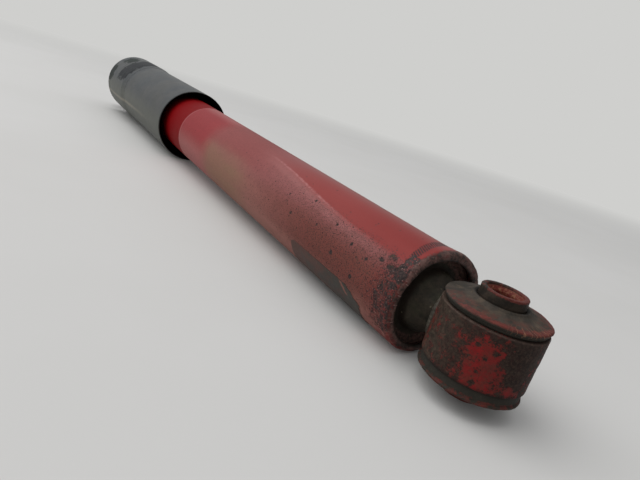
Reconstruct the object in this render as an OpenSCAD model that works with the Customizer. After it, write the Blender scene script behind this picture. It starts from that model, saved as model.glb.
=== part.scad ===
// Twin-tube rear shock absorber with a steel dust tube and a rubber-bushed eye at each end.
// X runs along the shock from the lower eye to the upper eye; both eye bolts lie along Z.
// The origin is the centre of the lower eye.

/* [Reservoir tube] */
// Outside diameter of the reservoir tube
body_od = 54; // [52:0.5:56]
// Wall of the reservoir tube
body_wall = 1.8; // [1.5:0.1:2]
// Lower eye centre to the rolled lower rim
rim_x = 31; // [31:0.5:33]
// Lower eye centre to the upper end of the reservoir tube
body_top = 460; // [455:1:460]
// Outside radius of the rolled rim
roll_r = 3.2; // [2.8:0.1:3.4]

/* [Eyes] */
// Outside diameter of the eye barrels
eye_od = 46; // [44:0.5:46]
// Length of the eye barrels along the bolt
eye_width = 25.4; // [24:0.2:28]
// Offset of the lower barrel from the middle of its sleeve
barrel_shift = 1.1; // [0:0.1:1.5]
// Wall of the eye barrels
eye_wall = 3.5; // [3:0.1:4]
// Outside diameter of the rubber lips
lip_od = 45.8; // [42:0.2:46]
// Width of a bush over the edges of its two lips
bush_width = 34.8; // [34:0.2:36]

/* [Eye sleeves] */
// Bore for the mounting bolt
bolt_bore = 12.7; // [12:0.1:14.2]
// Outside diameter of the sleeves
sleeve_od = 20.3; // [19:0.1:21]
// Length of the sleeves
sleeve_len = 49; // [46:0.5:54]

/* [Rod and dust tube] */
// Diameter of the piston rod
rod_d = 13; // [12:0.1:13.2]
// Outside diameter of the dust tube
dust_od = 70; // [68:0.5:72]
// Wall of the dust tube
dust_wall = 1.2; // [1:0.1:1.5]
// Lower eye centre to the open rim of the dust tube
dust_rim_x = 391.5; // [360:0.5:400]
// Outside diameter of the closing cap
cap_od = 72.8; // [72.6:0.2:76]
// Lower eye centre to the full width of the cap's skirt
cap_step_x = 570; // [530:1:620]
// Length of the skirt's tapered lead
cap_lead = 16; // [2:1:20]
// Eye-to-eye length in this position
eye_to_eye = 686.5; // [686.5:0.5:694]

/* [Hydraulics] */
// Bore of the pressure tube
bore_d = 36; // [35.6:0.1:36.4]
// Wall of the pressure tube
tube_wall = 1.6; // [1.2:0.1:2]
// Lower eye centre to the lower end of the piston group
piston_x = 225; // [223:1:230]
// Rod travel left before the rebound buffer meets the rod guide
rebound_travel = 58; // [30:1:58]

/* [Part] */
// Node to draw, or all

/* [Hidden] */
$fn = 96;
gap = 0.02; // seats that don't move
run = 0.03; // seats that slide or turn
body_r = body_od / 2;
body_in_r = body_r - body_wall;
rod_r = rod_d / 2;
bore_r = bore_d / 2;
tube_r = bore_r + tube_wall;
eye_r = eye_od / 2;
bush_r = eye_r - eye_wall;
lip_r = lip_od / 2;
sleeve_r = sleeve_od / 2;
dust_r = dust_od / 2;
cap_r = cap_od / 2;

// lower end
roll_lip_r = body_r - roll_r - 1.3;
neck_r = 11;
dome_r = 15.9;
plate_x = rim_x + 3.8;
cup_x = rim_x + 9;
cup_skirt = 7;
weld_r = 14.5;

// foot valve, stacked up from the cup
foot_leg = 7;
foot_x = cup_x + foot_leg;
foot_shoulder_x = foot_x + 3;
foot_seat_x = foot_x + 9;
foot_bolt_r = 4;
foot_disc_t = 0.9;
foot_spring_t = 0.8;
foot_head_t = 3.6;
plate_t = 0.8;
star_h = 2.7;
star_t = 0.4;
foot_nut_t = 3.5;
intake_r = 13;
centre_hole_r = 6.6;

// piston group, stacked up from piston_x
spigot_r = 5;
nut_t = 8;
cone_t = 4;
shim_t = 1;
piston_t = 14;
ring_t = 6;
ring_depth = 2.1;
spacer_t = 2.7;
shim_x = piston_x + nut_t + cone_t;
piston_face_x = shim_x + shim_t;
piston_top_x = piston_face_x + piston_t;
shoulder_x = piston_top_x + plate_t + star_h + spacer_t;
stop_t = 4;
buffer_t = 12;

// upper closure, stacked down from body_top
guide_x = body_top - 32;
stop_x = guide_x - rebound_travel - buffer_t - stop_t;
flange_x = guide_x + 10;
pocket_x = flange_x + 4;
washer_x = body_top - 12;
nut_x = washer_x + 1.5;
wiper_x = body_top - 6;
seal_r = 13;
wiper_r = 11;
oring_r = 1.1;

// upper end
cap_end_x = eye_to_eye - eye_r - 2.5;
cap_socket = 5.7;
cap_t = 2.5;
cap_corner = 12;
cap_wall = cap_r - dust_r - gap;
collar_t = 6;
collar_x = cap_end_x - cap_t - collar_t;
cup_washer_t = 1.5;
bump_len = 36.5;
bump_x = collar_x - cup_washer_t - bump_len;
top_spigot_r = 6;

// blank label on the reservoir tube
label_x = 54;
label_len = 68;
label_t = 0.15;
label_start = 6;
label_sweep = 66;

red = [0.55, 0.12, 0.11];
grey = [0.30, 0.31, 0.32];
steel = [0.62, 0.62, 0.60];
dark_steel = [0.38, 0.38, 0.37];
black = [0.09, 0.09, 0.09];
bronze = [0.66, 0.48, 0.26];

// revolves a profile of [radius, x] about the shock's axis
module turned(profile) {
    rotate([0, 90, 0]) rotate_extrude() polygon(profile);
}

// tube or washer about the shock's axis
module ring(x, len, r_out, r_in) {
    turned([[r_in, x], [r_out, x], [r_out, x + len], [r_in, x + len]]);
}

// ring of holes along the shock's axis
module axial_holes(x, len, count, pitch_r, r) {
    for (i = [0 : count - 1])
        rotate([i * 360 / count, 0, 0]) translate([x, 0, pitch_r])
            rotate([0, 90, 0]) cylinder(r = r, h = len);
}

// radial slots cut through a ring, each slot_w wide
module radial_slots(x, len, count, slot_w, r_in, r_out) {
    for (i = [0 : count - 1])
        rotate([i * 360 / count, 0, 0]) translate([x, -slot_w / 2, r_in])
            cube([len, slot_w, r_out - r_in]);
}

// thin conical spring with fingers; the hub is at x + height
module star_spring(x, height, hub_in_r, hub_r, tip_r) {
    difference() {
        turned([[hub_in_r, x + height - star_t], [hub_r, x + height - star_t], [tip_r, x],
                [tip_r, x + star_t], [hub_r, x + height], [hub_in_r, x + height]]);
        radial_slots(x - 1, height + 2, 6, 5, hub_r, tip_r + 1);
    }
}

// barrel of an eye, its axis along Z
module eye_barrel(x, shift) {
    chamfer = 0.6;
    translate([x, 0, shift]) rotate_extrude() polygon([
        [bush_r, -eye_width / 2], [eye_r - chamfer, -eye_width / 2],
        [eye_r, -eye_width / 2 + chamfer], [eye_r, eye_width / 2 - chamfer],
        [eye_r - chamfer, eye_width / 2], [bush_r, eye_width / 2]]);
}

// room kept for an eye barrel
module eye_space(x) {
    translate([x, 0, -eye_width]) cylinder(r = eye_r + gap, h = 2 * eye_width);
}

// rubber bush with a dished lip on each face of the eye
module bush(x, shift) {
    edge_z = bush_width / 2;
    foot_z = min(edge_z + 2.8, sleeve_len / 2 - 2);
    round_r = 0.9;
    translate([x, 0, 0]) rotate_extrude() {
        translate([sleeve_r + run, shift - eye_width / 2 - gap])
            square([bush_r - sleeve_r - run - gap, eye_width + 2 * gap]);
        for (s = [-1, 1]) scale([1, s]) {
            half = eye_width / 2 + gap + s * shift;
            polygon([
                [sleeve_r + run, half], [lip_r - round_r, half], [lip_r, half + round_r],
                [lip_r, edge_z - round_r], [lip_r - round_r, edge_z], [lip_r - 3, edge_z + 0.2],
                [sleeve_r + 2.2, foot_z], [sleeve_r + 1.2, foot_z], [sleeve_r + run, foot_z - 0.8]]);
            translate([lip_r - round_r, edge_z - round_r]) circle(r = round_r);
            translate([lip_r - round_r, half + round_r]) circle(r = round_r);
        }
    }
}

module sleeve(x) {
    bolt_r = bolt_bore / 2;
    chamfer = 0.5;
    translate([x, 0, 0]) rotate_extrude() polygon([
        [bolt_r, -sleeve_len / 2], [sleeve_r - chamfer, -sleeve_len / 2],
        [sleeve_r, -sleeve_len / 2 + chamfer], [sleeve_r, sleeve_len / 2 - chamfer],
        [sleeve_r - chamfer, sleeve_len / 2], [bolt_r, sleeve_len / 2]]);
}

module reservoir_tube() color(red) rotate([0, 90, 0]) rotate_extrude() {
    roll_x = rim_x + roll_r;
    translate([body_in_r, roll_x]) square([body_wall, body_top - roll_x]);
    translate([body_r - roll_r, roll_x]) intersection() {
        difference() {
            circle(r = roll_r);
            circle(r = roll_r - body_wall);
        }
        translate([0, -roll_r]) square(roll_r);
    }
    translate([roll_lip_r + body_wall / 2, rim_x])
        square([body_r - roll_r - roll_lip_r - body_wall / 2, body_wall]);
    translate([roll_lip_r + body_wall / 2, rim_x + body_wall / 2]) circle(d = body_wall);
}

module base_cup() color(dark_steel) difference() {
    turned([
        [0, rim_x - 13], [neck_r, rim_x - 13], [neck_r, rim_x - 6.5], [neck_r + 1.2, rim_x - 3.5],
        [dome_r - 2.3, rim_x - 1.6], [dome_r - 0.8, rim_x + 0.2], [dome_r, rim_x + 2.2],
        [dome_r + 0.3, rim_x + 5.2], [dome_r + 1.5, rim_x + 6], [roll_lip_r - 1, rim_x + 6],
        [roll_lip_r - 0.4, rim_x + 5], [roll_lip_r, plate_x], [body_in_r - gap, plate_x],
        [body_in_r - gap, cup_x + cup_skirt], [body_in_r - 2, cup_x + cup_skirt],
        [body_in_r - 2, cup_x + 2], [body_in_r - 3, cup_x], [0, cup_x]]);
    eye_space(0);
}

module lower_weld() color(dark_steel) difference() {
    turned([[neck_r + gap, rim_x - 13], [weld_r, rim_x - 13], [weld_r - 0.6, rim_x - 10.4],
            [neck_r + 1.2, rim_x - 7.2], [neck_r + gap, rim_x - 6.6]]);
    eye_space(0);
}

module lower_eye() color(red) eye_barrel(0, barrel_shift);

module lower_bush() color(black) bush(0, barrel_shift);

module lower_sleeve() color(steel) sleeve(0);

module label() color(dark_steel) rotate([0, 90, 0]) rotate([0, 0, label_start])
    rotate_extrude(angle = label_sweep)
        translate([body_r + gap, label_x]) square([label_t, label_len]);

module pressure_tube() color(steel)
    ring(foot_shoulder_x + gap, flange_x - foot_shoulder_x - 2 * gap, tube_r, bore_r);

module foot_valve_body() color(dark_steel) difference() {
    turned([
        [foot_bolt_r + gap, foot_x], [bore_r - 4, foot_x], [bore_r - 4, cup_x + gap],
        [bore_r - 1, cup_x + gap], [bore_r - 1, foot_x - 1], [tube_r, foot_x],
        [tube_r, foot_shoulder_x], [bore_r - gap, foot_shoulder_x], [bore_r - gap, foot_seat_x - 1],
        [bore_r - 1, foot_seat_x], [foot_bolt_r + gap, foot_seat_x]]);
    radial_slots(cup_x - 1, foot_leg - 1, 4, 9, bore_r - 5, tube_r);
    axial_holes(foot_x - 1, 12, 8, intake_r, 1.5);
    axial_holes(foot_x - 1, 12, 6, centre_hole_r, 1.1);
    // annular grooves that feed the two discs
    ring(foot_seat_x - 1, 2, intake_r + 1.7, intake_r - 1.7);
    ring(foot_x - 1, 2, centre_hole_r + 1.3, centre_hole_r - 1.3);
}

module foot_intake_plate() color(steel) difference() {
    ring(foot_seat_x, plate_t, bore_r - 0.4, 9);
    radial_slots(foot_seat_x - 1, plate_t + 2, 4, 5, bore_r - 2, bore_r + 1);
}

module foot_intake_spring() color(steel)
    star_spring(foot_seat_x + plate_t, star_h, foot_bolt_r + gap, 7.5, 14);

module foot_compression_discs() color(steel)
    ring(foot_x - foot_disc_t, foot_disc_t, 9.5, foot_bolt_r + run);

module foot_spring_washer() color(steel) {
    x = foot_x - foot_disc_t;
    turned([[foot_bolt_r + gap, x - foot_spring_t], [5.4, x - foot_spring_t],
            [8, x - star_t], [8, x], [7.4, x], [foot_bolt_r + gap, x - foot_spring_t / 2]]);
}

module foot_bolt() color(steel) {
    x = foot_x - foot_disc_t - foot_spring_t;
    translate([x - foot_head_t, 0, 0]) rotate([0, 90, 0]) {
        cylinder(r = 6.4, h = foot_head_t, $fn = 6);
        cylinder(r = foot_bolt_r, h = foot_seat_x + plate_t + star_h + foot_nut_t + 1 - x + foot_head_t);
    }
}

module foot_nut() color(steel) {
    x = foot_seat_x + plate_t + star_h;
    translate([x, 0, 0]) rotate([0, 90, 0]) difference() {
        cylinder(r = 7, h = foot_nut_t, $fn = 6);
        translate([0, 0, -1]) cylinder(r = foot_bolt_r + gap, h = foot_nut_t + 2);
    }
}

module rod_guide() color(dark_steel) difference() {
    turned([
        [rod_r + 1.5, guide_x], [bore_r - 2, guide_x], [bore_r - gap, guide_x + 1.5],
        [bore_r - gap, flange_x], [body_in_r - gap, flange_x], [body_in_r - gap, flange_x + 4],
        [body_in_r - 2.3, flange_x + 4], [body_in_r - 2.3, flange_x + 7],
        [body_in_r - gap, flange_x + 7], [body_in_r - gap, washer_x], [seal_r, washer_x],
        [seal_r, pocket_x], [rod_r + 1, pocket_x], [rod_r + 1, pocket_x - 1],
        [rod_r + 1.5, pocket_x - 1]]);
    // drain holes back to the reservoir
    axial_holes(flange_x - 1, 5, 4, tube_r + 2.4, 1);
}

module guide_bushing() color(bronze)
    ring(guide_x + 1, pocket_x - guide_x - 2.2, rod_r + 1.5 - gap, rod_r + run);

module rod_seal() color(black) turned([
    [rod_r + run, pocket_x + 0.6], [rod_r + 1.2, pocket_x + 2.6], [rod_r + 2.4, pocket_x + 2.6],
    [rod_r + 2.4, pocket_x + gap], [seal_r - gap, pocket_x + gap], [seal_r - gap, washer_x - gap],
    [rod_r + 1, washer_x - gap], [rod_r + run, washer_x - 1.2]]);

module guide_o_ring() color(black) rotate([0, 90, 0]) rotate_extrude()
    translate([body_in_r - oring_r - 0.04, flange_x + 5.5]) circle(r = oring_r);

module seal_washer() color(steel) ring(washer_x + gap, 1.5 - 2 * gap, body_in_r - 1, rod_r + 0.8);

module gland_nut() color(dark_steel) difference() {
    turned([
        [rod_r + 0.6, nut_x], [body_in_r - gap, nut_x], [body_in_r - gap, body_top - 1.5],
        [body_in_r - 0.6, body_top - 1], [wiper_r, body_top - 1], [wiper_r, wiper_x],
        [rod_r + 0.6, wiper_x]]);
    axial_holes(wiper_x, 12, 4, body_in_r - 6, 2.4);
}

module wiper() color(black) turned([
    [rod_r + run, wiper_x + 2], [rod_r + 1.4, wiper_x + gap], [wiper_r - gap, wiper_x + gap],
    [wiper_r - gap, body_top - 1], [rod_r + 2.6, body_top - 1], [rod_r + 1.2, body_top + 0.8],
    [rod_r + run, body_top + 0.8]]);

module piston_ring() color(bronze) {
    x = piston_face_x + (piston_t - ring_t) / 2;
    ring(x + run, ring_t - 2 * run, bore_r - run, bore_r - ring_depth + run);
}

module piston() color(dark_steel) {
    x = piston_face_x + (piston_t - ring_t) / 2;
    difference() {
        turned([
            [spigot_r + gap, piston_face_x], [bore_r - 0.9, piston_face_x],
            [bore_r - 0.4, piston_face_x + 0.5], [bore_r - 0.4, x], [bore_r - ring_depth, x],
            [bore_r - ring_depth, x + ring_t], [bore_r - 0.4, x + ring_t],
            [bore_r - 0.4, piston_top_x - 0.5], [bore_r - 0.9, piston_top_x],
            [spigot_r + gap, piston_top_x]]);
        axial_holes(piston_face_x - 1, piston_t + 2, 8, intake_r, 1.5);
        axial_holes(piston_face_x - 1, piston_t + 2, 6, 8.6, 1.2);
        ring(piston_top_x - 1, 2, intake_r + 1.7, intake_r - 1.7);
        ring(piston_face_x - 1, 2, 10, 7.2);
    }
}

module piston_rod() color(steel) turned([
    [0, piston_x - 1], [spigot_r - 0.6, piston_x - 1], [spigot_r, piston_x - 0.4],
    [spigot_r, shoulder_x], [rod_r - 0.3, shoulder_x], [rod_r, shoulder_x + 0.3],
    [rod_r, cap_end_x - cap_t], [top_spigot_r, cap_end_x - cap_t], [top_spigot_r, cap_end_x + 4.5],
    [0, cap_end_x + 4.5]]);

module rebound_nut() color(steel) difference() {
    ring(piston_x, nut_t, 9, spigot_r + gap);
    radial_slots(piston_x - 1, 3.5, 8, 2, spigot_r + 1, 10);
}

module rebound_spring() color(steel) {
    // two dished washers, edge to edge
    x = shim_x - cone_t;
    hub = spigot_r + 0.2;
    t = 0.7;
    turned([[hub, x], [hub + 0.6, x], [10, x + cone_t / 2 - t], [10, x + cone_t / 2], [9, x + cone_t / 2],
            [hub, x + t]]);
    turned([[hub, x + cone_t], [hub + 0.6, x + cone_t], [10, x + cone_t / 2 + t], [10, x + cone_t / 2],
            [9, x + cone_t / 2], [hub, x + cone_t - t]]);
}

module rebound_discs() color(steel) ring(shim_x, shim_t, 11, spigot_r + run);

module check_plate() color(steel) ring(piston_top_x, plate_t, 16, 10.4);

module check_spring() color(steel)
    star_spring(piston_top_x + plate_t, star_h, spigot_r + gap, 8, 14);

module spring_spacer() color(steel)
    ring(piston_top_x + plate_t + star_h, spacer_t, 10, spigot_r + gap);

module stop_collar() color(steel) ring(stop_x, stop_t, 10, rod_r + gap);

module rebound_buffer() color(black) {
    x = stop_x + stop_t;
    turned([[rod_r + gap, x], [11.5, x], [13, x + 1.5], [13, x + 4.5], [12, x + 6],
            [13, x + 7.5], [13, x + buffer_t - 1.5], [11.5, x + buffer_t], [rod_r + gap, x + buffer_t]]);
}

module bump_stop() color(black) turned([
    [rod_r + 0.5, bump_x], [9.5, bump_x], [12, bump_x + 3], [13, bump_x + 8], [11.5, bump_x + 11],
    [14.5, bump_x + 15], [15, bump_x + 20], [13, bump_x + 23.5], [16.5, bump_x + 27],
    [17, bump_x + 32], [16, bump_x + bump_len], [rod_r + 0.5, bump_x + bump_len]]);

module bump_washer() color(steel) {
    x = bump_x + bump_len;
    ring(x, cup_washer_t, 19, rod_r + gap);
    ring(x - 3, 3, 19, 17.6);
}

module cap_collar() color(steel) turned([
    [rod_r + gap, collar_x], [14, collar_x], [16, collar_x + 2], [16, collar_x + collar_t],
    [rod_r + gap, collar_x + collar_t]]);

module dust_tube() color(grey) {
    x = cap_end_x - cap_corner - cap_t;
    turned([
        [dust_r - dust_wall, dust_rim_x + 0.4], [dust_r - dust_wall + 0.4, dust_rim_x],
        [dust_r - 0.4, dust_rim_x], [dust_r, dust_rim_x + 0.4], [dust_r, x],
        [dust_r - dust_wall, x]]);
}

module dust_cap() color(grey) rotate([0, 90, 0]) difference() {
    lead_x = cap_step_x - cap_lead;
    lead_r = cap_r - cap_wall + 0.3;
    rotate_extrude() {
        translate([0, cap_step_x]) square([cap_r, cap_end_x - cap_corner - cap_step_x]);
        polygon([[0, lead_x], [lead_r, lead_x], [cap_r, cap_step_x], [0, cap_step_x]]);
        translate([0, cap_end_x - cap_corner]) square([cap_r - cap_corner, cap_corner]);
        translate([cap_r - cap_corner, cap_end_x - cap_corner]) circle(r = cap_corner);
    }
    translate([0, 0, lead_x - 1]) cylinder(r = cap_r - cap_wall, h = cap_end_x - cap_corner - lead_x + 1);
    rotate_extrude() {
        translate([0, cap_end_x - cap_corner - 1])
            square([cap_r - cap_corner, cap_corner - cap_t + 1]);
        translate([cap_r - cap_corner, cap_end_x - cap_corner]) circle(r = cap_corner - cap_t);
    }
    translate([0, 0, cap_end_x - 2 * cap_t]) cylinder(r = top_spigot_r + gap, h = 4 * cap_t);
}

module upper_eye() color(red) {
    difference() {
        union() {
            eye_barrel(eye_to_eye, 0);
            difference() {
                turned([[0, cap_end_x + gap], [10, cap_end_x + gap], [10, eye_to_eye - 14],
                        [0, eye_to_eye - 14]]);
                translate([eye_to_eye, 0, -eye_width]) cylinder(r = bush_r + 0.5, h = 2 * eye_width);
            }
        }
        translate([cap_end_x - 1, 0, 0]) rotate([0, 90, 0]) cylinder(r = top_spigot_r + gap, h = cap_socket);
    }
}

module upper_weld() color(dark_steel) difference() {
    turned([[10 + gap, cap_end_x + gap], [13.4, cap_end_x + gap], [12.6, cap_end_x + 1.4],
            [12.2, cap_end_x + 2.6], [13.6, cap_end_x + 5], [14.4, cap_end_x + 8],
            [10 + gap, cap_end_x + 8]]);
    eye_space(eye_to_eye);
}

module upper_bush() color(black) bush(eye_to_eye, 0);

module upper_sleeve() color(steel) sleeve(eye_to_eye);

reservoir_tube();
base_cup();
lower_weld();
lower_eye();
lower_bush();
lower_sleeve();
label();
pressure_tube();
foot_valve_body();
foot_intake_plate();
foot_intake_spring();
foot_compression_discs();
foot_spring_washer();
foot_bolt();
foot_nut();
rod_guide();
guide_bushing();
rod_seal();
guide_o_ring();
seal_washer();
gland_nut();
wiper();
piston_ring();
piston();
piston_rod();
rebound_nut();
rebound_spring();
rebound_discs();
check_plate();
check_spring();
spring_spacer();
stop_collar();
rebound_buffer();
bump_stop();
bump_washer();
cap_collar();
dust_tube();
dust_cap();
upper_eye();
upper_weld();
upper_bush();
upper_sleeve();
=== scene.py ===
import math

import bmesh
import bpy
import numpy as np
from mathutils import Matrix, Vector

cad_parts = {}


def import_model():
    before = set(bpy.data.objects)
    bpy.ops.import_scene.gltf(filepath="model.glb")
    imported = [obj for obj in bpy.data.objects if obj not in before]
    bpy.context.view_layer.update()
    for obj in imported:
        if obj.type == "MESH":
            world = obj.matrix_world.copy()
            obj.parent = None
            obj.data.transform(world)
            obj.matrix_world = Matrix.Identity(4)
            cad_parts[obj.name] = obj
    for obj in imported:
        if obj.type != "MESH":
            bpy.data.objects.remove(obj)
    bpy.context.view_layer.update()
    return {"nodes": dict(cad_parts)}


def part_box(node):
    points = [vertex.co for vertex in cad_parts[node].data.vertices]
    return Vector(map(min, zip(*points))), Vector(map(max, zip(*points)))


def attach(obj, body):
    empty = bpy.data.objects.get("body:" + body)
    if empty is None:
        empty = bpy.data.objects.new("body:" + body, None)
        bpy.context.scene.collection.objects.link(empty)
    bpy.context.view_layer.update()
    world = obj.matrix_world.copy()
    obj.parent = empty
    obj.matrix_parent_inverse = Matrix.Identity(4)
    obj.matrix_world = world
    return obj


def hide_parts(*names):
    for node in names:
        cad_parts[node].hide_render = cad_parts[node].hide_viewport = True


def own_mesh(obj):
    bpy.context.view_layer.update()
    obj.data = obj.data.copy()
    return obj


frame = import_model()
MM = 0.001
TAU = 2 * math.pi
DEG = math.pi / 180


# ---- sizes in mm, from the frame: the shock lies along X, and its eyes turn about Z
def span(node, axis):
    lo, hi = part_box(node)
    return lo[axis] / MM, hi[axis] / MM


RIM_X, BODY_TOP = span("reservoir_tube", 0)
BODY_R = span("reservoir_tube", 1)[1]
WALL = 1.8
ROLL = 3.2
LIP_R = BODY_R - ROLL - 1.3
CUP_X = RIM_X + 9
EYE_R = span("lower_eye", 1)[1]
EYE_LO, EYE_HI = span("lower_eye", 2)
EYE2_X = sum(span("upper_sleeve", 0)) / 2
EYE2_LO, EYE2_HI = span("upper_eye", 2)
SLEEVE_R, SLEEVE_Z = span("lower_sleeve", 1)[1], span("lower_sleeve", 2)[1]
BORE_R = 6.35
EYE_BORE_R = EYE_R - 3.5
BUSH_R = EYE_BORE_R - 0.02
NECK_R = 11
STUB_R = 10
LIP_OUT, FOOT_Z = span("lower_bush", 1)[1], span("lower_bush", 2)[1]
DUST_X, DUST_END = span("dust_tube", 0)
DUST_R = span("dust_tube", 1)[1]
CAP_X, CAP_END = span("dust_cap", 0)
CAP_R = span("dust_cap", 1)[1]
SPIGOT_R = 6.02


# ---- shader graphs
def linear(colour):
    """A display colour, three numbers from 0 to 255, as linear RGBA. Anything else passes through."""
    if not isinstance(colour, tuple):
        return colour

    def lin(v):
        v /= 255
        return v / 12.92 if v <= 0.04045 else ((v + 0.055) / 1.055) ** 2.4
    return (*map(lin, colour), 1.0)


def operator(name, swap=False):
    def apply(self, other):
        return self.g.math(name, *((other, self) if swap else (self, other)))
    return apply


class Val:
    """A node socket that can be used in sums."""

    def __init__(self, graph, socket):
        self.g, self.s = graph, socket

    __add__, __radd__ = operator("ADD"), operator("ADD", True)
    __sub__, __rsub__ = operator("SUBTRACT"), operator("SUBTRACT", True)
    __mul__, __rmul__ = operator("MULTIPLY"), operator("MULTIPLY", True)
    __truediv__ = operator("DIVIDE")


class Graph:
    """A material's node tree, in millimetres. The attribute col is the colour so far."""

    def __init__(self, name):
        self.mat = bpy.data.materials.new(name)
        self.mat.use_nodes = True
        self.t = self.mat.node_tree
        self.t.nodes.clear()
        self.out = self.t.nodes.new("ShaderNodeOutputMaterial")
        self.bsdf = self.t.nodes.new("ShaderNodeBsdfPrincipled")
        self.t.links.new(self.bsdf.outputs[0], self.out.inputs[0])
        tc = self.t.nodes.new("ShaderNodeTexCoord")
        self.pos = self.times(tc.outputs["Object"], (1 / MM,) * 3)
        sep = self.t.nodes.new("ShaderNodeSeparateXYZ")
        self.t.links.new(self.pos, sep.inputs[0])
        self.x, self.y, self.z = (Val(self, sep.outputs[i]) for i in range(3))

    def feed(self, socket, v):
        if isinstance(v, Val):
            self.t.links.new(v.s, socket)
        elif isinstance(v, bpy.types.NodeSocket):
            self.t.links.new(v, socket)
        else:
            socket.default_value = v

    def math(self, op, a, b=None, clamp=False):
        n = self.t.nodes.new("ShaderNodeMath")
        n.operation = op
        n.use_clamp = clamp
        self.feed(n.inputs[0], a)
        if b is not None:
            self.feed(n.inputs[1], b)
        return Val(self, n.outputs[0])

    def clamp(self, a):
        return self.math("ADD", a, 0.0, clamp=True)

    def max(self, a, *others):
        for b in others:
            a = self.math("MAXIMUM", a, b)
        return a

    def abs(self, a):
        return self.math("ABSOLUTE", a)

    def sin(self, a):
        return self.math("SINE", a)

    def angle(self, a, b):
        """atan2(a, b) in degrees."""
        return self.math("ARCTAN2", a, b) * (1 / DEG)

    def about_eye(self):
        """Angle in degrees and distance about the centre of the nearer eye."""
        x = self.x - self.math("GREATER_THAN", self.x, EYE2_X / 2) * EYE2_X
        return self.angle(self.y, x), self.length(self.y, x)

    def unrolled(self, radius):
        """Distance along and round a tube of that radius, for flat patterns."""
        return self.vector(self.x, self.angle(self.y, self.z) * (DEG * radius), 0.0)

    def length(self, a, b):
        return self.math("SQRT", a * a + b * b)

    def ramp(self, v, at_zero, at_one):
        """0 where v is at_zero, 1 where it is at_one, smooth between them."""
        n = self.t.nodes.new("ShaderNodeMapRange")
        n.interpolation_type = "SMOOTHSTEP"
        for i, w in enumerate((v, at_zero, at_one)):
            self.feed(n.inputs[i], w)
        return Val(self, n.outputs[0])

    def band(self, v, lo, hi, soft):
        """1 between lo and hi, 0 outside, soft edges."""
        return self.ramp(v, lo - soft, lo + soft) * self.ramp(v, hi + soft, hi - soft)

    def times(self, vec, factors):
        """Two vectors or colours multiplied, part by part."""
        n = self.t.nodes.new("ShaderNodeVectorMath")
        n.operation = "MULTIPLY"
        self.feed(n.inputs[0], vec)
        self.feed(n.inputs[1], factors)
        return n.outputs[0]

    def vector(self, a, b, c):
        n = self.t.nodes.new("ShaderNodeCombineXYZ")
        for i, v in enumerate((a, b, c)):
            self.feed(n.inputs[i], v)
        return n.outputs[0]

    def noise(self, size, detail, rough, seed, vec=None):
        """Fractal noise, about 0 to 1, with features about size mm across."""
        n = self.t.nodes.new("ShaderNodeTexNoise")
        n.noise_dimensions = "4D"
        self.feed(n.inputs["Vector"], vec if vec is not None else self.pos)
        n.inputs["W"].default_value = seed
        n.inputs["Scale"].default_value = 1.0 / size
        n.inputs["Detail"].default_value = detail
        n.inputs["Roughness"].default_value = rough
        return Val(self, n.outputs[0])

    def cells(self, size, seed, vec=None):
        """Distance to the nearest of scattered points, in cell sizes, and a value per cell.
        With vec, the points lie in the plane of its first two coordinates."""
        n = self.t.nodes.new("ShaderNodeTexVoronoi")
        n.voronoi_dimensions = "3D" if vec is None else "2D"
        move = self.t.nodes.new("ShaderNodeVectorMath")
        move.inputs[1].default_value = (seed * 13.7, seed * 5.3, seed * 7.9)
        self.feed(move.inputs[0], vec if vec is not None else self.pos)
        self.feed(n.inputs["Vector"], move.outputs[0])
        n.inputs["Scale"].default_value = 1.0 / size
        sep = self.t.nodes.new("ShaderNodeSeparateColor")
        self.t.links.new(n.outputs["Color"], sep.inputs[0])
        return Val(self, n.outputs["Distance"]), Val(self, sep.outputs[0])

    def specks(self, size, share, small, large, seed, vec=None):
        """Separate ragged specks on a share (0 to 1, may be a Val) of the cells."""
        d, v = self.cells(size, vec=vec, seed=seed)
        edge = d + (self.noise(size * 0.3, 3.0, 0.7, vec=vec, seed=seed + 7) - 0.5) * 0.4
        return self.ramp(edge, large, small) * self.math("LESS_THAN", v, share)

    def cover(self, noise, share, soft=0.03):
        """Ragged patches over about a share (0 to 1, may be a Val) of the surface."""
        keep = self.ramp(share, 0.0, 0.06) if isinstance(share, Val) else 1.0
        return self.ramp(noise + share * 0.42 - 0.71, -soft, soft) * keep

    def mix(self, a, b, f):
        n = self.t.nodes.new("ShaderNodeMix")
        n.data_type = "RGBA"
        n.clamp_factor = True
        self.feed(n.inputs[0], f)
        self.feed(n.inputs[6], linear(a))
        self.feed(n.inputs[7], linear(b))
        return n.outputs[2]

    def over(self, colour, share):
        """Covers a share of the colour so far with another."""
        self.col = self.mix(self.col, colour, share)

    def shade(self, f):
        self.col = self.tint(self.col, f)

    def tint(self, a, f):
        """A colour times f, a number or Val."""
        return self.times(linear(a)[:3] if isinstance(a, tuple) else a, self.vector(f, f, f))

    def finish(self, rough, height, depth, spec=0.5, metal=0.0):
        """Sets the surface, in the colour so far. Height is in units of depth mm."""
        b = self.bsdf.inputs
        self.feed(b["Base Color"], self.col)
        self.feed(b["Roughness"], self.clamp(rough))
        self.feed(b["Metallic"], metal)
        self.feed(b["Specular IOR Level"], spec)
        n = self.t.nodes.new("ShaderNodeBump")
        n.inputs["Strength"].default_value = 1.0
        n.inputs["Distance"].default_value = depth * MM
        self.feed(n.inputs["Height"], height)
        self.t.links.new(n.outputs[0], b["Normal"])
        return self.mat


# ---- meshes
def arc(cr, ca, rad, a0, a1, n):
    """Points (radius, along) on an arc; angle 0 points outward, 90 up the axis."""
    t = np.radians(np.linspace(a0, a1, n))
    return [(cr + rad * math.cos(v), ca + rad * math.sin(v)) for v in t]


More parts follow.
